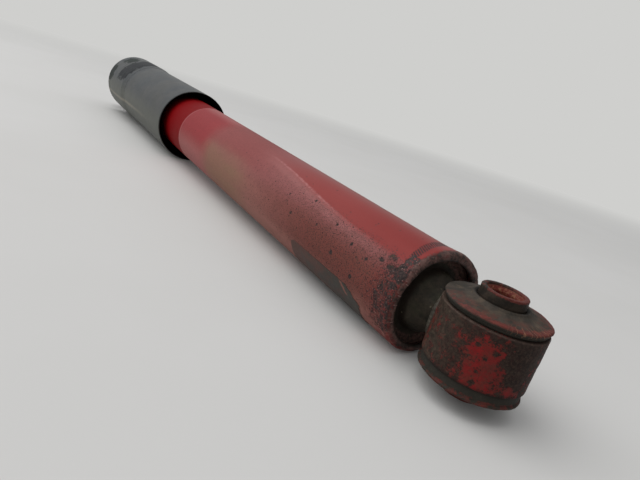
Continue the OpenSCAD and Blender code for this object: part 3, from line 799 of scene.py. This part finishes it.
def reservoir_profile():
    cr, cx = BODY_R - ROLL, RIM_X + ROLL
    p = arc(LIP_R + 0.9, RIM_X + 0.9, 0.9, 90, 270, 9)
    p += dense([(LIP_R + 0.9, RIM_X), (cr, RIM_X)], 0.34)[1:-1]
    p += arc(cr, cx, ROLL, 270, 360, 15)
    p += dense([(BODY_R, cx), (BODY_R, BODY_TOP - 0.5)], rim_step)[1:]
    p += [(BODY_R - 0.2, BODY_TOP - 0.15), (BODY_R - 0.5, BODY_TOP), (BODY_R - WALL + 0.4, BODY_TOP)]
    p += [(BODY_R - WALL, BODY_TOP - 0.4)]
    p += dense([(BODY_R - WALL, BODY_TOP - 0.4), (BODY_R - WALL, cx + 8)], 40)[1:]
    p += [(BODY_R - WALL, cx + 1)]
    p += arc(cr, cx, ROLL - WALL, 360, 270, 6)
    p += [(LIP_R + 0.9, RIM_X + WALL)]
    return p


def reservoir_warp(r, a, t):
    near = unit(1 - (a - RIM_X) / 7)
    outer = unit((r - (BODY_R - 0.8)) / 0.6)
    a = a + near * (0.22 + 0.16 * waves(t, 0 * a, 3, lo=1, hi=9) + 0.05 * waves(t, a, 4, lo=10, hi=50))
    r = r - near * 0.07 * (1 + waves(t, a, 5, lo=2, hi=14)) * outer
    # wrench bites: ribs across a narrow band above the rim
    deg = turn_diff(t, 15)
    ribs = 0.5 + 0.5 * np.sin((np.degrees(t) + a * 0.8) * TAU / 2.8)
    band = np.exp(-(((a - 40 + 0.05 * deg) / 1.7) ** 4)) * np.exp(-((deg / 24) ** 6))
    r = r - outer * band * ribs * 0.13 * (0.8 + 0.3 * waves(t, a, 6))
    # the rim stands out on the side turned away from the label
    proud = np.exp(-((turn_diff(t, -52) / 46) ** 2)) * unit(1 - (a - RIM_X) / 16) ** 2
    r = r + 1.9 * proud * unit((r - 21) / 4)
    a = a - 1.6 * proud
    # shallow dents and a nick
    r = r - outer * dents(a, t, BODY_R, ((94, -10, 3, 0.22), (46, 53, 3.2, 0.12), (62, 84, 5, 0.16),
                                         (150, 70, 12, 0.12), (210, 30, 16, 0.1), (75, 150, 9, 0.18),
                                         (230, -120, 20, 0.2)))
    return r, a


place(revolve("reservoir_shell", reservoir_profile(), "reservoir", body_look, steps=480,
              warp=reservoir_warp, flare=2.0),
      "reservoir_tube")


def base_profile():
    """The closed lower end: neck, dome and dished plate pressed into the tube."""
    p = dense([(0.4, 20.2), (10.6, 20.2)], 1.2)
    p += dense([(NECK_R, 20.6), (NECK_R, RIM_X - 6.5), (11.4, RIM_X - 5), (12.3, RIM_X - 3.1)], 0.6)
    p += dense([(13.6, RIM_X - 1.5), (14.7, RIM_X - 0.1), (15.4, RIM_X + 1.2), (15.8, RIM_X + 2.6)], 0.5)
    p += dense([(16.1, RIM_X + 5.2), (16.7, RIM_X + 5.9), (17.6, RIM_X + 6.1), (20.6, RIM_X + 6.0)], 0.4)
    p += dense([(21.7, RIM_X + 5.2), (22.4, RIM_X + 4.2), (23.2, RIM_X + 3.8), (25.1, RIM_X + 3.8)], 0.4)
    p += dense([(25.15, RIM_X + 4.1), (25.15, CUP_X + 7)], 2)
    p += dense([(23.2, CUP_X + 7), (23.2, CUP_X + 2), (22.2, CUP_X), (0.4, CUP_X)], 2)
    return p


def base_warp(r, a, t):
    front = unit((RIM_X + 8 - a) / 6)
    skirt = unit((24.5 - r) / 2)
    r = r + skirt * front * (0.16 * waves(t, a, 11, lo=1, hi=7) + 0.05 * waves(t, a, 12, lo=8, hi=30))
    # the pressing is fuller toward the barrel's upper face
    r = r + front * skirt * 0.3 * lump(turn_diff(t, 70), 0, 60) * unit((r - NECK_R) / 4)
    a = a + front * skirt * 0.12 * waves(t, r, 13, lo=1, hi=9)
    return r, a


place(revolve("base_pressing", base_profile(), "reservoir", grime, steps=256, warp=base_warp),
      "base_cup")


def weld(name, body, x_eye, side, r_neck, size, seed, node):
    """Fillet weld along the saddle where a round stub meets an eye barrel. side is +1 or -1 along X."""
    steps, ring_n = 300, 18
    psi = np.arange(steps) * TAU / steps
    y, z = r_neck * np.sin(psi), r_neck * np.cos(psi)
    x = np.sqrt(EYE_R ** 2 - y ** 2)
    path = np.stack([x, y, z], -1)
    tangent = np.roll(path, -1, 0) - np.roll(path, 1, 0)
    tangent /= np.linalg.norm(tangent, axis=1)[:, None]
    normal = np.stack([x, y, 0 * z], -1) / EYE_R
    normal -= (normal * tangent).sum(1)[:, None] * tangent
    normal /= np.linalg.norm(normal, axis=1)[:, None]
    other = np.cross(tangent, normal)
    ripple = np.abs(np.sin(psi * 19 + 0.7 * waves(psi, 0 * psi, seed, lo=1, hi=5)))
    fat = size * (0.9 + 0.12 * ripple + 0.07 * waves(psi, 0 * psi, seed + 1, lo=1, hi=8))
    ang = np.arange(ring_n) * TAU / ring_n
    off = fat[:, None, None] * (np.cos(ang)[None, :, None] * normal[:, None] * 0.85
                                + np.sin(ang)[None, :, None] * other[:, None] * 1.15)
    v = (path[:, None] + off).reshape(-1, 3)
    v[:, 0] = x_eye + side * v[:, 0]
    place(mesh_object(name, v, quads(steps, ring_n, wrap=True).tolist(), body, weld_look, 60), node)


weld("lower_weld_bead", "reservoir", 0, 1, NECK_R + 0.2, 1.9, 21, "lower_weld")


def barrel(name, body, x_eye, lo, hi, seed, node):
    c = 0.6
    p = dense([(EYE_BORE_R, hi), (EYE_R - c, hi)], 0.6)
    p += arc(EYE_R - c, hi - c, c, 80, 10, 4)
    p += dense([(EYE_R, hi - c), (EYE_R, lo + c)], 0.45)
    p += arc(EYE_R - c, lo + c, c, -10, -80, 4)
    p += dense([(EYE_R - c, lo), (EYE_BORE_R, lo)], 0.6) + dense([(EYE_BORE_R, lo), (EYE_BORE_R, hi)], 3)[1:]

    def warp(r, a, t):
        skin = unit((r - 20.5) / 2)
        r = r - skin * (0.05 + 0.05 * waves(t, a, seed, lo=1, hi=8, along=0.3))
        r = r - skin * 0.03 * np.clip(waves(t, a, seed + 1, lo=10, hi=44, along=0.3), 0, 2)
        a = a + 0.05 * waves(t, 0 * a, seed + 2, lo=1, hi=10) * np.sign(a - (lo + hi) / 2) * skin
        return r, a

    place(revolve(name, p, body, eye_look, axis="Z", centre=(x_eye, 0, 0), steps=320, warp=warp),
          node)


barrel("lower_eye_barrel", "reservoir", 0, EYE_LO, EYE_HI, 31, "lower_eye")


def bush(name, body, x_eye, lo, hi, seed, node):
    inner = SLEEVE_R + 0.03
    edge = 17.4

    def lip(face):
        # from the sleeve out over the lip and back to the barrel's face, for the upper end
        p = dense([(inner, FOOT_Z - 1.0), (inner + 0.9, FOOT_Z - 0.2), (inner + 1.5, FOOT_Z),
                   (inner + 2.2, FOOT_Z - 0.15), (inner + 2.9, FOOT_Z - 0.9), (15.2, 18.55), (18, 17.95),
                   (20.4, edge + 0.15)], 0.4)
        p += dense([(21.6, edge + 0.05)], 0.4)
        p += arc(LIP_OUT - 0.75, edge - 0.85, 0.85, 82, -50, 9)
        p += dense([(LIP_OUT - 0.7, edge - 1.8), (LIP_OUT - 1.0, face + 0.9), (LIP_OUT - 1.2, face + 0.3),
                    (LIP_OUT - 1.7, face + 0.03)], 0.3)
        return p

    top = lip(hi)
    low = [(r, -a) for r, a in lip(-lo)]
    p = dense([(inner, -FOOT_Z + 1.0), (inner, FOOT_Z - 1.0)], 3)[:-1] + top
    p += [(BUSH_R, hi + 0.02)] + dense([(BUSH_R, hi - 0.5), (BUSH_R, lo + 0.5)], 3) + [(BUSH_R, lo - 0.02)]
    p += low[::-1]

    def warp(r, a, t):
        out = unit((r - 19) / 3) * (np.abs(a) > 11)
        r = r - out * (0.1 + 0.09 * waves(t, 0 * a, seed, lo=1, hi=6)
                       + 0.04 * waves(t, a, seed + 1, lo=8, hi=40))
        up = np.sign(a) * out * unit((np.abs(a) - 14) / 2)
        a = a + up * (0.12 * waves(t, 0 * a, seed + 2, lo=1, hi=7) - 0.1)
        # dried radial cracks in the upper lip
        deg = np.degrees(t) % 360
        zone = np.exp(-(((deg - 176) / 30) ** 4)) * unit((r - 19.5) / 2) * (a > 15)
        crack = np.sin(deg * TAU / 7.3 + waves(t, 0 * a, seed + 3, lo=1, hi=4)) - 0.8
        a = a - zone * 1.1 * unit(crack)
        dish = unit((r - 12) / 3) * unit((21 - r) / 3) * (np.abs(a) > 17)
        a = a + np.sign(a) * dish * 0.12 * waves(t, r, seed + 4, lo=1, hi=9, along=0.5)
        return r, a

    place(revolve(name, p, body, rubber_look, axis="Z", centre=(x_eye, 0, 0), steps=360, warp=warp,
                  smooth=50),
          node)


bush("lower_bush_rubber", "reservoir", 0, EYE_LO, EYE_HI, 41, "lower_bush")


def sleeve(name, body, x_eye, seed, node):
    z, c = SLEEVE_Z, 0.55
    half = dense([(BORE_R, z - 2.6), (BORE_R + 0.5, z - 1.9)], 0.3)
    half += arc(BORE_R + 2.3, z - 0.75, 0.75, 190, 95, 7)
    half += arc(SLEEVE_R - c, z - c, c, 85, 5, 5)
    p = half + dense([(SLEEVE_R, z - c), (SLEEVE_R, c - z)], 1.0)[1:-1]
    p += [(r, -a) for r, a in half[::-1]]
    p += dense([(BORE_R, 2.6 - z), (BORE_R, z - 2.6)], 1.0)[1:-1]

    def warp(r, a, t):
        end = unit((np.abs(a) - 20.6) / 2)
        r = r - end * 0.05 * (1 + waves(t, 0 * a, seed, lo=1, hi=12)) * (r > 8.5)
        r = r + end * 0.04 * waves(t, 0 * a, seed + 1, lo=2, hi=9) * (r < 8.6)
        a = a - np.sign(a) * end * 0.05 * (1 + waves(t, 0 * a, seed + 2, lo=1, hi=7)) * (np.abs(a) > z - 1.2)
        return r, a

    place(revolve(name, p, body, sleeve_look, axis="Z", centre=(x_eye, 0, 0), steps=200, warp=warp),
          node)


sleeve("lower_eye_sleeve", "lower_bolt_sleeve", 0, 51, "lower_sleeve")


def label_patch():
    """A blank film on the tube, torn at its lower end and with round corners at the other."""
    nx, nt = 160, 90
    first, last, corner = 108, 174, 3.4
    v = np.linspace(0, 1, nt)
    deg = first + (last - first) * v
    torn = np.interp(deg, [108, 109, 112, 114, 116, 118, 120, 124, 174],
                     [66, 65, 60.5, 59.5, 59, 55.5, 53.6, 54, 54.5])
    left = torn + 0.35 * waves(np.radians(deg), 0 * deg, 61, lo=20, hi=120)
    right = 124.0
    for inward in (deg - first, last - deg):
        right = right - corner * (1 - unit(inward / 6)) ** 2.4
    u = np.linspace(0, 1, nx)
    x = left[:, None] + (right - left)[:, None] * u[None]
    top = deg[:, None] - 0.25 * np.clip(waves(x / 40, 0 * x, 62, lo=5, hi=40), -1, 1) * (v[:, None] < 0.02)
    t = np.radians(top * np.ones_like(x))
    lift = 0.05 * np.exp(-((x - left[:, None]) / 2) ** 2) * (1 + waves(t, x, 63, lo=8, hi=60, along=2))
    rows = []
    for r in (BODY_R + 0.03, BODY_R + 0.17):
        rr = r + lift * (r > BODY_R + 0.1)
        rows.append(np.stack([x, rr * np.sin(t), rr * np.cos(t)], -1).reshape(-1, 3))
    verts = np.concatenate(rows)
    n = nt * nx
    upper = np.roll(quads(nt, nx)[:, ::-1], 1, axis=1)
    faces = upper[:, ::-1].tolist() + (upper + n).tolist()
    loop = list(range(nx)) + [i * nx + nx - 1 for i in range(1, nt)]
    loop += [(nt - 1) * nx + j for j in range(nx - 2, -1, -1)] + [i * nx for i in range(nt - 2, 0, -1)]
    for a, b in zip(loop, loop[1:] + loop[:1]):
        faces.append([a, b, b + n, a + n])
    place(mesh_object("blank_label", verts, faces, "reservoir", label_look, 50), "label")


label_patch()


def tube_step(a):
    return 0.5 if a < DUST_X + 4 else min(0.5 + (a - DUST_X - 4) * 0.08, 6.0)


def dust_profile():
    w, e = 1.2, 0.55
    p = arc(DUST_R - w / 2, DUST_X + e, w / 2, 180, 360, 9)
    p += dense([(DUST_R, DUST_X + e), (DUST_R, DUST_END)], tube_step)[1:]
    p += dense([(DUST_R - w, DUST_END), (DUST_R - w, DUST_X + e)], 8)[:-1]
    return p


def dust_warp(r, a, t):
    near = np.exp(-(a - DUST_X) / 25)
    r = r - near * (0.13 + 0.10 * np.cos(2 * (t - 0.6)) - 0.02 * waves(t, a, 71, lo=1, hi=8))
    r = r - dents(a, t, DUST_R, ((470, 40, 14, 0.25), (520, 80, 20, 0.2), (430, -60, 16, 0.3)))
    a = a + 0.06 * near * waves(t, 0 * a, 72, lo=1, hi=12)
    return r, a


place(revolve("dust_tube_shell", dust_profile(), "rod_and_dust_tube", tube_look, steps=384, warp=dust_warp),
      "dust_tube")


def cap_profile():
    t, c = 2.5, 12.0
    inner = DUST_R + 0.03
    lead = 16.0
    p = [(inner, CAP_X + 0.1)]
    for k in range(13):
        f = k / 12
        p.append((inner + 0.12 + (CAP_R - inner - 0.12) * f * f * (3 - 2 * f), CAP_X + f * lead))
    p += dense([(CAP_R, CAP_X + lead), (CAP_R, CAP_END - c)], 2.2)[1:]
    p += arc(CAP_R - c, CAP_END - c, c, 0, 90, 22)[1:]
    p += dense([(CAP_R - c, CAP_END), (SPIGOT_R + 0.4, CAP_END)], 1.0)[1:]
    p += [(SPIGOT_R, CAP_END - 0.4), (SPIGOT_R, CAP_END - t)]
    p += dense([(SPIGOT_R, CAP_END - t), (CAP_R - c, CAP_END - t)], 3)[1:]
    p += arc(CAP_R - c, CAP_END - c, c - t, 90, 0, 10)[1:]
    p += [(CAP_R - t, CAP_END - c - 0.2), (inner, CAP_END - c - 0.2)]
    p += dense([(inner, CAP_END - c - 0.4), (inner, CAP_X + 0.3)], 8)[:-1]
    return p


def cap_warp(r, a, t):
    skin = unit((r - DUST_R - 0.3) / 0.8)
    r = r - skin * 0.04 * (1 + waves(t, a, 81, lo=1, hi=9, along=0.3))
    r = r - skin * dents(a, t, CAP_R, ((600, 50, 12, 0.3), (640, 100, 9, 0.35), (620, -80, 14, 0.3)))
    a = a - (a > CAP_END - 0.2) * 0.15 * unit(waves(t, r, 82, lo=1, hi=6))
    return r, a


place(revolve("dust_cap_shell", cap_profile(), "rod_and_dust_tube", tube_look, steps=320, warp=cap_warp),
      "dust_cap")

barrel("upper_eye_barrel", "rod_and_dust_tube", EYE2_X, EYE2_LO, EYE2_HI, 91, "upper_eye")


def stub_profile():
    x0, x1 = CAP_END + 0.05, EYE2_X - 20.4
    bore, floor_x = SPIGOT_R + 0.03, CAP_END + 5.6
    p = dense([(bore, x0), (STUB_R, x0)], 1) + dense([(STUB_R, x0 + 0.3), (STUB_R, x1)], 0.5)
    p += dense([(STUB_R - 0.4, x1 + 0.2), (0.4, x1 + 0.2)], 1)
    p += dense([(0.4, floor_x), (bore, floor_x)], 1) + [(bore, CAP_END + 2)]
    return p


stub = revolve("upper_eye_stub", stub_profile(), "rod_and_dust_tube", eye_look, steps=128,
               warp=lambda r, a, t: (r + 0.05 * waves(t, a, 95, lo=1, hi=9) * (r > 9), a))
weld("upper_weld_bead", "rod_and_dust_tube", EYE2_X, -1, STUB_R + 0.3, 1.0, 97, "upper_weld")
bush("upper_bush_rubber", "rod_and_dust_tube", EYE2_X, EYE2_LO, EYE2_HI, 101, "upper_bush")
sleeve("upper_eye_sleeve", "upper_bolt_sleeve", EYE2_X, 111, "upper_sleeve")


# ---- stage, light and camera
BACKDROP = linear((207, 207, 205))
GLOW = 0.02


def floor():
    n, reach = 64, 4.0
    g = Graph("floor_paint")
    soft = g.noise(140, 4, 0.5, seed=201)
    g.col = g.mix((206, 205, 203), (198, 197, 194), soft)
    grain = (g.noise(3, 4, 0.6, seed=202) - 0.5) * g.ramp(g.length(g.x, g.y), 1500.0, 300.0)
    g.finish(0.9, grain, depth=0.04, spec=0.05)
    # a faint glow keeps the shadows soft
    g.feed(g.bsdf.inputs["Emission Color"], (1, 1, 0.99, 1))
    g.bsdf.inputs["Emission Strength"].default_value = GLOW
    fade = g.ramp(g.length(g.x - 300.0, g.y), 700.0, 2600.0)
    far = g.t.nodes.new("ShaderNodeEmission")
    far.inputs[0].default_value = BACKDROP
    mix = g.t.nodes.new("ShaderNodeMixShader")
    g.feed(mix.inputs[0], fade)
    g.t.links.new(g.bsdf.outputs[0], mix.inputs[1])
    g.t.links.new(far.outputs[0], mix.inputs[2])
    g.t.links.new(mix.outputs[0], g.out.inputs[0])
    ax = np.linspace(-reach, reach, n)
    xx, yy = np.meshgrid(ax + 0.3, ax, indexing="ij")
    x_rim, x_tube = RIM_X + ROLL, DUST_X
    slope = (DUST_R - BODY_R) / (x_tube - x_rim)
    zz = -(BODY_R + 0.1) * MM - (xx - x_rim * MM) * slope
    v = np.stack([xx, yy, zz], -1).reshape(-1, 3)
    me = bpy.data.meshes.new("floor")
    me.from_pydata(v.tolist(), [], quads(n, n).tolist())
    me.materials.append(g.mat)
    ob = bpy.data.objects.new("floor", me)
    bpy.context.scene.collection.objects.link(ob)


floor()


def area_light(name, at, aim, size, watts):
    data = bpy.data.lights.new(name, "AREA")
    data.shape = "RECTANGLE"
    data.size, data.size_y = size
    data.energy = watts
    ob = bpy.data.objects.new(name, data)
    ob.location = at
    ob.rotation_mode = "QUATERNION"
    ob.rotation_quaternion = (Vector(aim) - Vector(at)).to_track_quat("-Z", "Y")
    bpy.context.scene.collection.objects.link(ob)


area_light("overhead", (0.9, 1.1, 1.9), (0.3, 0, 0), (2.4, 2.4), 34)


def world():
    """Pale surroundings, brighter up and toward +X and darker behind the camera, plain in the picture."""
    w = bpy.data.worlds.new("studio")
    bpy.context.scene.world = w
    w.use_nodes = True
    t = w.node_tree
    t.nodes.clear()
    out = t.nodes.new("ShaderNodeOutputWorld")
    seen, fill = t.nodes.new("ShaderNodeBackground"), t.nodes.new("ShaderNodeBackground")
    seen.inputs[0].default_value = BACKDROP
    fill.inputs[0].default_value = (0.97, 0.98, 1, 1)
    tc, dot = t.nodes.new("ShaderNodeTexCoord"), t.nodes.new("ShaderNodeVectorMath")
    dot.operation = "DOT_PRODUCT"
    dot.inputs[1].default_value = (0.5, 0.42, 0.75)
    t.links.new(tc.outputs["Generated"], dot.inputs[0])
    ramp = t.nodes.new("ShaderNodeMapRange")
    ramp.interpolation_type = "SMOOTHSTEP"
    ramp.inputs[1].default_value, ramp.inputs[2].default_value = -0.75, 0.9
    ramp.inputs[3].default_value, ramp.inputs[4].default_value = 0.10, 0.72
    t.links.new(dot.outputs["Value"], ramp.inputs[0])
    t.links.new(ramp.outputs[0], fill.inputs[1])
    path, mix = t.nodes.new("ShaderNodeLightPath"), t.nodes.new("ShaderNodeMixShader")
    t.links.new(path.outputs["Is Camera Ray"], mix.inputs[0])
    t.links.new(fill.outputs[0], mix.inputs[1])
    t.links.new(seen.outputs[0], mix.inputs[2])
    t.links.new(mix.outputs[0], out.inputs[0])


world()

cam = bpy.data.objects.new("camera", bpy.data.cameras.new("camera"))
bpy.context.scene.collection.objects.link(cam)
cam.data.sensor_width = 36
cam.data.lens = 28.34
cam.data.clip_start, cam.data.clip_end = 0.01, 50
eye, aim, roll = Vector((-0.11052, 0.18329, 0.07873)), Vector((0.10217, 0.02145, 0)), 0.31898
fwd = (aim - eye).normalized()
side = fwd.cross(Vector((0, 0, 1))).normalized()
up = side.cross(fwd)
right = side * math.cos(roll) + up * math.sin(roll)
top = up * math.cos(roll) - side * math.sin(roll)
cam.matrix_world = Matrix(((right.x, top.x, -fwd.x, eye.x), (right.y, top.y, -fwd.y, eye.y),
                           (right.z, top.z, -fwd.z, eye.z), (0, 0, 0, 1)))
bpy.context.scene.camera = cam
bpy.context.scene.view_settings.view_transform = "Standard"
